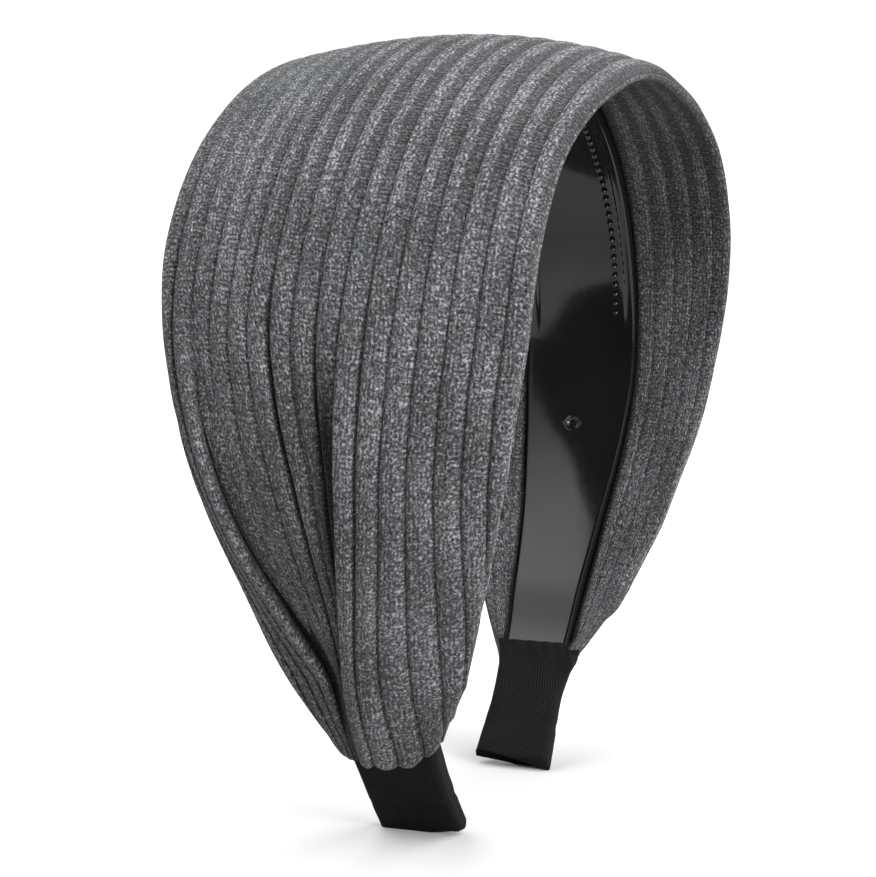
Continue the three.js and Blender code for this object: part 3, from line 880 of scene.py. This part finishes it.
def cover_relief(s, pitch, inner):
    """The ribs' height at each rib, lower where they are narrow, inside or calm."""
    amount = np.clip(pitch / FULL_RELIEF_PITCH, 0, 1) * (1 - (1 - FLANK_RELIEF) * inner)
    middle = ramp(RIBS, *MIDDLE_STARTS) * (1 - ramp(RIBS, *MIDDLE_ENDS))
    middle = middle * ramp(s, *MIDDLE_STATIONS)
    rear_top = ramp(RIBS, *REAR_TOP_RIBS) * (1 - ramp(s, *REAR_TOP_STATIONS)) * (1 - inner)
    return rib_relief(s) * amount * (1 - MIDDLE_CALM * middle) * (1 - REAR_TOP_CALM * rear_top)


def cover_waves(side, s, looks):
    """The cloth's slow unevenness at each rib, in millimetres."""
    along, across = looks["paces"]
    seed = looks["seed"] + int(side)
    return looks["size"] * waves(s * HALF_LENGTH * along, RIBS * across, seed)


def cover_shade(s, run, inner, folds):
    """Painted shade at each rib: in the folds, in the grooves, as painted shadow beside the hoop,
    and on the inside.
    """
    # Painted shade in the grooves between ribs, where the knit is drawn together on the legs
    groove = np.minimum(np.mod(RIBS, 1), 1 - np.mod(RIBS, 1))
    narrow = (RIBS > NARROW_RIBS_FROM).astype(int)
    line = np.exp(-((groove / np.take(LINE_WIDTHS, narrow)) ** 2)) * ramp(s, *DRAWN_STATIONS)
    line = line * np.take(LINE_SHADES, narrow)
    beside = np.minimum(run - run[0], run[-1] - run)
    # Painted shadow along the knit where it meets the hoop's sides
    seam_shadow = DARKEST_PAINTED_SHADE * (1 - ramp(beside, *SEAM_SHADOW_RUN))
    inside = INSIDE_SHADE * inner * (1 - ramp(s, *INSIDE_SHADE_FADES))
    shade = np.maximum(folds + line * (1 - inner), inside)
    return np.clip(np.maximum(shade, seam_shadow), 0, DARKEST_PAINTED_SHADE)


def cloth_width(across, height):
    """The way across the cloth at each rib, longer where a fold stretches it."""
    step = np.hypot(np.diff(across), np.diff(height))
    spare = np.maximum(step - WIDEST_RIB * RIB_MM * np.diff(RIBS), 0)
    return RIB_MM * RIBS + np.concatenate([[0], np.cumsum(spare)])


def cover_section(side, s):
    """One section of the cover's skin: stations, places, ribs, painted shade, cloth widths and the
    front hem's painted highlight of its points.
    """
    across, height, out, run, turn, front_hem, rear_hem = section_path(side, s)
    shift, lift, folds = fold_shift(s, rear_hem)
    inner = ramp(-np.sin(turn), *INSIDE_TURN)
    relief = cover_relief(s, np.gradient(run, RIBS), inner)
    stations = end_station(s, across, RIBS, turn)
    across = across + shift + cover_waves(side, s, SIDEWAYS) * np.sin(turn).clip(0, 1)
    height = height + lift - drop(s, across) + cover_waves(side, s, UNEVEN) * (1 - inner)
    across = across + out[:, 0] * relief
    height = height + out[:, 1] * relief
    t_end = max(0.0, 1 - (COVER_END - s) / END_ROLL)
    if t_end > 0:
        roll = math.sqrt(1 - t_end**2)
        over = OVER_WRAP + (height - OVER_WRAP) * roll
        height = height + (over - height) * ramp(turn, *END_ROLL_TURN)
    # The painted shade at each point, handed to the knit material as an attribute
    painted_shade = cover_shade(s, run, inner, folds)
    # A painted highlight along the front hem, on the legs between the crown and the tips
    hem = np.exp(-(((RIBS - front_hem) / HEM_LIGHT_WIDTH) ** 2))
    hem = hem * ramp(s, *HEM_LIGHT_STARTS) * (1 - ramp(s, *HEM_LIGHT_ENDS))
    wide = cloth_width(across, height)
    return np.column_stack([stations, across, height, RIBS, painted_shade, wide, hem])


def cover_rings():
    """The stations of one leg's sections, closer together towards its lower end."""
    upper = np.linspace(0, FINE_FROM, int(FINE_FROM * HALF_LENGTH / RING_PITCH) + 1)
    roll_start = COVER_END - END_ROLL
    lower_count = int((roll_start - FINE_FROM) * HALF_LENGTH / FINE_RING_PITCH)
    lower = np.linspace(FINE_FROM, roll_start, lower_count + 1)[1:]
    quarter = np.linspace(0, math.pi / 2, END_ROLL_STEPS)[1:]
    return np.concatenate([upper, lower, roll_start + END_ROLL * np.sin(quarter)])


def backed(face):
    """A section's closed ring: its skin and, a layer behind it, every few points again."""
    picked = np.arange(1, len(face) - 1, BACK_SHARE)
    before = face[np.maximum(picked - 2, 0)]
    after = face[np.minimum(picked + 2, len(face) - 1)]
    run = after[:, 1:3] - before[:, 1:3]
    run /= np.maximum(np.linalg.norm(run, axis=1, keepdims=True), 1e-6)
    back = face[picked].copy()
    back[:, 1:3] += np.stack([run[:, 1], -run[:, 0]], -1) * FLANK_BACK
    return np.concatenate([face, back[::-1]]), picked


def end_caps(picked, count):
    """The faces between a ring's skin and the layer behind it, which close the cover's end."""
    caps = []
    for k in range(len(picked) - 1):
        caps.append([*range(picked[k], picked[k + 1] + 1), count - 2 - k, count - 1 - k])
    caps.append([*range(0, picked[0] + 1), count - 1])
    caps.append([*range(picked[-1], len(RIBS)), len(RIBS)])
    return caps


def knit_cover():
    """The cover, ring by ring from the -X end; the two legs blend into each other on top."""
    legs = cover_rings()
    rings = [(-1.0, s) for s in legs[:0:-1]] + [(1.0, s) for s in legs]
    points, values = [], []
    for side, s in rings:
        face = cover_section(side, s)
        if s < CROWN_BLEND:
            other = cover_section(-side, s)
            face = (face + other) / 2 + (face - other) / 2 * ramp(s, 0.0, CROWN_BLEND)
        ring, picked = backed(face)
        points.append(place(side * ring[:, 0], ring[:, 1], ring[:, 2]))
        along = np.full(len(ring), side * s * HALF_LENGTH)
        values.append(np.column_stack([ring[:, 3], along, ring[:, 5], ring[:, 4], ring[:, 6]]))
    count = len(points[0])
    last = (len(points) - 1) * count
    caps = end_caps(picked, count)
    faces = tube_faces(len(points), count) + caps + [[i + last for i in cap[::-1]] for cap in caps]
    values = np.concatenate(values)
    # The cloth coordinates, the painted shade and the front hem's painted highlight, for the knit
    # material
    attributes = {"cloth": values[:, :3], "painted_shade": values[:, 3], "hem": values[:, 4]}
    return mesh_object("knit_band", np.concatenate(points), faces, KNIT, attributes)


# The plastic hoop
def core_heights(s):
    """The heights of the hoop's outer and inner face."""
    narrow = float(ramp(s, *CORE_NARROWS))
    outer = CORE_OUTER + (CORE_TIP_OUTER - CORE_OUTER) * narrow
    thick = CORE_THICKNESS + (CORE_TIP_THICKNESS - CORE_THICKNESS) * narrow
    return outer, outer - thick


def hoop_drop(s, across):
    """The hoop follows the dome over the crown and is flat across on the legs."""
    return drop(s, across) * (1 - ramp(s, *HOOP_FLATTENS))


def core_section(s, sense):
    """Half of the hoop's section, from its outer face to its inner face, and where its dull edge
    is, which takes the darker edge material as painted shade.
    """
    half = float(smooth(CORE_ROWS, "half_width", s))
    outer, inner = core_heights(s)
    rim = RIM_HEIGHT * float(1 - ramp(s, *RIM_FADES))
    across = half - np.concatenate([[half / 2], OUTER_EDGE["inset"], INNER_EDGE["inset"]])
    inside = inner + INNER_EDGE["above"] - rim * INNER_EDGE["rim"]
    height = np.concatenate([[outer], outer - OUTER_EDGE["below"], inside])
    follows = np.concatenate([np.zeros(len(across) - len(inside)), INNER_EDGE["lean"]])
    lean = float(smooth(LEAN_ROWS, "lean", s)) * follows
    height = height + lean * sense * across / half
    edge = ramp(across, half - DULL_FROM, half - DULL_TO)
    return across * sense, height - hoop_drop(s, across * sense), edge


def mark_depth(station, across):
    """The round moulding mark on each leg: a shallow dish with a low raised ring."""
    away = np.hypot((abs(station) - MARK_STATION) * HALF_LENGTH, across - MARK_ACROSS)
    dish = MARK_DEPTH * (1 - ramp(away, *(MARK_RADIUS - inset for inset in MARK_BANK)))
    from_ring = (away - MARK_RADIUS - MARK_RING_OUT) / MARK_RING_WIDTH
    return dish - MARK_RING * np.exp(-(from_ring**2))


def core_ring(station):
    """The hoop's whole section at a station, with more points where the mark is."""
    s = abs(station)
    outer, inner = core_heights(s)
    rear_across, rear_height, rear_edge = core_section(s, 1)
    front_across, front_height, front_edge = core_section(s, -1)
    side_steps = np.linspace(rear_across[-1], MARK_ZONE, FIELD_STEPS)[1:]
    mark_steps = np.linspace(MARK_ZONE, -MARK_ZONE, MARK_STEPS)[1:-1]
    field = np.concatenate([side_steps, mark_steps, -side_steps[::-1]])
    lean = float(smooth(LEAN_ROWS, "lean", s)) * field / rear_across.max()
    level = inner + lean - hoop_drop(s, field) + mark_depth(station, field)
    across = np.concatenate([[0.0], rear_across, field, front_across[::-1]])
    height = np.concatenate([[outer], rear_height, level, front_height[::-1]])
    edge = np.concatenate([[0.0], rear_edge, np.zeros(len(field)), front_edge[::-1]])
    return across, height, edge


def hoop_stations():
    """Evenly spaced stations, with finer ones across the moulding marks."""
    even = np.linspace(-LAST_STATION, LAST_STATION, CORE_STEPS + 1)
    reach = MARK_ZONE / HALF_LENGTH
    even = even[np.abs(np.abs(even) - MARK_STATION) > reach]
    fine = MARK_STATION + np.linspace(-reach, reach, MARK_STEPS)
    return np.sort(np.concatenate([even, fine, -fine]))


def hoop_band():
    rings, edges = [], []
    for station in hoop_stations():
        across, height, edge = core_ring(station)
        shifted = across + leg_shift(station)
        rings.append(place(np.full(len(across), station), shifted, height))
        edges.append(edge)
    points, faces = closed_tube(rings)
    return points, faces, np.concatenate(edges)


def tooth(station, across):
    """One small moulded tooth, a rounded cone that leans a little along the hoop."""
    _, inner = core_heights(abs(station))
    foot = inner - hoop_drop(abs(station), across)
    turn = np.linspace(0, math.tau, TOOTH_SIDES, endpoint=False)
    points = []
    for at, radius in zip(TOOTH_ROWS["at"], TOOTH_ROWS["radius"]):
        lean = TOOTH_LEAN * max(at, 0) / HALF_LENGTH * np.sign(station)
        where = station + lean + np.cos(turn) * radius * TOOTH_RADIUS / HALF_LENGTH
        over = across + np.sin(turn) * radius * TOOTH_RADIUS
        points.append(place(where, over, np.full(TOOTH_SIDES, foot - at * TOOTH_HEIGHT)))
    points.append(place(*(np.array([v]) for v in (station + lean, across, foot - TOOTH_HEIGHT))))
    tip = len(points[0]) * len(TOOTH_ROWS["at"])
    faces = tube_faces(len(TOOTH_ROWS["at"]), TOOTH_SIDES)
    for i in range(TOOTH_SIDES):
        faces.append([tip - TOOTH_SIDES + i, tip, tip - TOOTH_SIDES + (i + 1) % TOOTH_SIDES])
    faces.append(list(range(TOOTH_SIDES)))
    return np.concatenate(points), faces


def join(parts):
    """One set of points and faces from several."""
    points, faces, start = [], [], 0
    for some, its_faces in parts:
        points.append(some)
        faces += [[i + start for i in face] for face in its_faces]
        start += len(some)
    return np.concatenate(points), faces


def hoop_teeth():
    count = int(TEETH_END * HALF_LENGTH / TOOTH_PITCH)
    parts = []
    for i in range(-count, count + 1):
        station = i * TOOTH_PITCH / HALF_LENGTH
        across = float(smooth(CORE_ROWS, "half_width", abs(station))) - TOOTH_INSET
        parts += [tooth(station, across), tooth(station, -across)]
    return join(parts)


def moulded_hoop():
    band_points, band_faces, edges = hoop_band()
    points, faces = join([(band_points, band_faces), hoop_teeth()])
    edges = np.concatenate([edges, np.zeros(len(points) - len(edges))])
    piece = mesh_object("moulded_hoop", points, faces, PLASTIC)
    # The narrow edge faces take the darker, dull edge material: painted shade
    piece.data.materials.append(PLASTIC_EDGE)
    for face in piece.data.polygons:
        face.material_index = int(edges[list(face.vertices)].min() > 0.5)
    return piece


# The ribbon wraps
def rounded_box(half, top, bottom, corner, steps):
    """Evenly spaced points round a box with round corners, clockwise from its top middle."""
    width, depth = half - corner, (top - bottom) / 2 - corner
    middle = (top + bottom) / 2
    arc = math.pi / 2 * corner
    runs = (width, arc, 2 * depth, arc, 2 * width, arc, 2 * depth, arc, width)
    ends = np.concatenate([[0], np.cumsum(runs)])
    at = np.linspace(0, ends[-1], steps, endpoint=False)
    across, height = np.zeros(steps), np.zeros(steps)
    corners = ((width, depth, 90), (width, -depth, 0), (-width, -depth, -90), (-width, depth, -180))
    for k in range(9):
        pick = (at >= ends[k]) & (at < ends[k + 1])
        t = at[pick] - ends[k]
        if k % 2:
            x, z, start = corners[k // 2]
            turn = math.radians(start) - t / corner
            across[pick] = x + corner * np.cos(turn)
            height[pick] = middle + z + corner * np.sin(turn)
        else:
            across[pick], height[pick] = {
                0: (t, middle + depth + corner),
                2: (half, middle + depth - t),
                4: (width - t, middle - depth - corner),
                6: (-half, middle - depth + t),
                8: (-width + t, middle + depth + corner),
            }[k]
    return across, height, at


def wrap_top(side, across, height):
    """The ribbon's upper edge: straight, but it slants down at the front corner inside."""
    corner = ramp(-across, *SLANT_ACROSS) * ramp(-height, *SLANT_DEPTHS)
    return WRAP_TOP + WRAP_TOP_SLANTS[side] * corner


def ribbon_swell(side, s, across, at):
    """How far the ribbon's cords, crease, gathers and slack stand out."""
    cords = at / CORD_PITCH * math.tau + CORD_WANDER * waves(s * 28, at * 0.22, 4 + side)
    line = CREASE_STATION + CREASE_SLANT * across + CREASE_WANDER * waves(at * 0.5, s, 9)
    crease = CREASE_DEPTH * np.exp(-(((s - line) / CREASE_WIDTH) ** 2))
    crease = crease * (0.6 + 0.4 * waves(at * 0.4, s, 8))
    gather = GATHER_DEPTH * np.cos(at * GATHER_PACE + 2 * waves(at * 0.3, s * 20, 6))
    gather = gather * (1 - ramp(s, *GATHER_FADES))
    slack = SLACK * waves(s * 60, at * 0.3, 12 + side) * ramp(s, *SLACK_STARTS)
    return CORD_RELIEF * np.cos(cords) - crease + gather + slack


def outer_wrap_ring(side, s):
    outer, inner = core_heights(s)
    front, rear = leg_edges(WRAP_ROWS, side, s)
    half, middle = (front + rear) / 2, (rear - front) / 2
    top, bottom = outer + WRAP_GAP + RIBBON, inner - WRAP_GAP - RIBBON
    across, height, at = rounded_box(half, top, bottom, OUTER_CORNER, WRAP_COLUMNS)
    swell = ribbon_swell(side, s, across, at)
    across = across * (1 + 0.5 * swell / half) + middle
    height = (height - RIBBON_MIDDLE) * (1 + swell / RIBBON_HALF) + RIBBON_MIDDLE
    return across, height, at


def inner_wrap_ring(side, s):
    outer, inner = core_heights(s)
    half = float(smooth(CORE_ROWS, "half_width", s)) + WRAP_GAP
    top, bottom = outer + WRAP_GAP, inner - WRAP_GAP
    across, height, at = rounded_box(half, top, bottom, INNER_CORNER, WRAP_COLUMNS)
    return across + leg_shift(side * s), height, at


def cut_edge_level(side, across, height, at):
    """How high the ribbon's cut edge is: up inside, up at one corner, and a little frayed."""
    fray = FRAY * np.abs(waves(at * FRAY_PACE, 0, FRAY_SEED)) * ramp(-height, *FRAY_STARTS)
    rise, start, end = CUT_RISES[side]
    corner = rise * np.clip((across - start) / (end - start), 0, 1)
    fray = fray * ramp(-height, *FRAY_DEEPENS)
    level = FOOT_RISE * ramp(-height, *FOOT_DEPTHS) - fray + corner
    return np.maximum(level, 0)[:, None]


def wrap_skin(side, outside):
    """Rings of one skin of a wrap, from its top edge to its foot, with cloth coordinates."""
    rings, cloth = [], []
    wrap_ring = outer_wrap_ring if outside else inner_wrap_ring
    for t in np.linspace(0, 1, WRAP_STATIONS):
        across, height, at = wrap_ring(side, WRAP_TOP + (1 - WRAP_TOP) * t)
        top = wrap_top(side, across, height)
        stations = top + (1 - top) * t
        cloth.append(np.column_stack([at, stations * HALF_LENGTH, np.zeros(len(at))]))
        if t < 1:
            rings.append(place(side * np.minimum(stations, WRAP_LAST_STATION), across, height))
        else:
            level = cut_edge_level(side, across, height, at) if outside else INNER_FOOT
            rings.append(place_on_level(side, across, height, level))
    return rings, cloth


def tip_wrap(name, side):
    """Ribbon round a tip: an outer skin from the foot up and an inner one down again."""
    outer, outer_cloth = wrap_skin(side, True)
    inner, inner_cloth = wrap_skin(side, False)
    points, faces = closed_tube(outer[::-1] + inner)
    cloth = np.concatenate(outer_cloth[::-1] + inner_cloth)
    return mesh_object(name, points, faces, RIBBON_CLOTH, {"cloth": cloth})


# Camera and light
CAMERA_TURN = math.radians(20.13)
CAMERA_DOWN = math.radians(7.11)
CAMERA_ROLL = math.radians(0.22)
CAMERA_DISTANCE = 458.0
CAMERA_AIM_HEIGHT = 67.2
CAMERA_AIM_SIDE = -6.9
PHOTO_WIDTH = 876
FOCAL_PIXELS = 2500.0
SENSOR_WIDTH = 36.0


def add_camera():
    forward = Vector((
        math.cos(CAMERA_TURN) * math.cos(CAMERA_DOWN),
        math.sin(CAMERA_TURN) * math.cos(CAMERA_DOWN),
        -math.sin(CAMERA_DOWN),
    ))
    right = Vector((math.sin(CAMERA_TURN), -math.cos(CAMERA_TURN), 0.0))
    up = right.cross(forward)
    aim = Vector((0.0, 0.0, CAMERA_AIM_HEIGHT)) + right * CAMERA_AIM_SIDE
    rolled = math.cos(CAMERA_ROLL) * right + math.sin(CAMERA_ROLL) * up
    upright = rolled.cross(forward)
    data = bpy.data.cameras.new("camera")
    data.sensor_width = SENSOR_WIDTH
    data.lens = FOCAL_PIXELS / PHOTO_WIDTH * SENSOR_WIDTH
    data.clip_start = 0.01
    camera = bpy.data.objects.new("camera", data)
    bpy.context.scene.collection.objects.link(camera)
    turn = Matrix((rolled, upright, -forward)).transposed().to_4x4()
    camera.matrix_world = Matrix.Translation((aim - forward * CAMERA_DISTANCE) * MM) @ turn
    bpy.context.scene.camera = camera


KEY_PLACE = Vector((-330, -620, 260))
KEY_AIM = Vector((0, 0, 80))
KEY_SIZE = 300
KEY_POWER = 6.0


def add_key_light():
    data = bpy.data.lights.new("key", "AREA")
    data.shape = "RECTANGLE"
    data.size = data.size_y = KEY_SIZE * MM
    data.energy = KEY_POWER
    light = bpy.data.objects.new("key", data)
    bpy.context.scene.collection.objects.link(light)
    light.location = KEY_PLACE * MM
    light.rotation_mode = "QUATERNION"
    light.rotation_quaternion = (KEY_AIM - KEY_PLACE).to_track_quat("-Z", "Y")


SKY_LOW = 1.03
SKY_RISE = 4.3
SKY_DIM = 0.3
SKY_SIDEWAYS = (1.3, 1.15)
FLOOR_TONE = 0.44
FLOOR_CHANGE = 0.02
FLOOR_SIZE = 12000.0


def add_sky():
    """Soft studio light, brightest overhead and dim towards -X, before an even pale backdrop."""
    g = Graph(bpy.data.worlds.new("studio"), "Background")
    toward = g.node("ShaderNodeTexCoord").outputs["Generated"]
    x, _, z = g.node("ShaderNodeSeparateXYZ", {0: toward}).outputs
    upward = g.math("POWER", g.math("MAXIMUM", z, 0.0), 2.0)
    sideways = g.math("MINIMUM", g.math("MULTIPLY_ADD", x, *SKY_SIDEWAYS), 1.0)
    level = g.math("MULTIPLY", g.math("MAXIMUM", sideways, SKY_DIM), SKY_LOW)
    light = g.math("MULTIPLY_ADD", upward, SKY_RISE, level)
    seen = g.node("ShaderNodeLightPath").outputs["Is Camera Ray"]
    unseen, backdrop = g.math("SUBTRACT", 1.0, seen), g.math("MULTIPLY", seen, SKY_LOW)
    strength = g.math("MULTIPLY_ADD", light, unseen, backdrop)
    bpy.context.scene.world = g.finish(Color=(1.0, 1.0, 1.0, 1.0), Strength=strength)


def add_stage():
    """A plain pale floor, the sky and the key light."""
    g = Graph(bpy.data.materials.new("pale_floor"))
    low, high = (FLOOR_TONE,) * 3, (FLOOR_TONE + FLOOR_CHANGE,) * 3
    color = g.ramp(g.noise(g.object_place(), 3.0), (0.3, low), (0.7, high))
    floor_material = g.finish(Base_Color=color, Roughness=0.95, Specular_IOR_Level=0.1)
    corners = [(x * FLOOR_SIZE, y * FLOOR_SIZE, 0) for x, y in ((-1, -1), (1, -1), (1, 1), (-1, 1))]
    floor = mesh_object("floor", corners, [[0, 1, 2, 3]], floor_material)
    add_sky()
    add_key_light()
    bpy.context.scene.view_settings.view_transform = "Standard"


add_camera()
add_stage()
KNIT = knit_material()
PLASTIC = plastic_material()
PLASTIC_EDGE = plastic_edge_material()
RIBBON_CLOTH = ribbon_material()

band = knit_cover()
hoop = moulded_hoop()
left_wrap = tip_wrap("ribbon_wrap_left", -1)
right_wrap = tip_wrap("ribbon_wrap_right", 1)

for piece, node, slot in (
    (band, "knit_cover", "rib_knit"),
    (hoop, "plastic_hoop", "hoop_plastic"),
    (left_wrap, "tip_wrap_left", "grosgrain"),
    (right_wrap, "tip_wrap_right", "grosgrain"),
):
    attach(piece, "root")
    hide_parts(node)
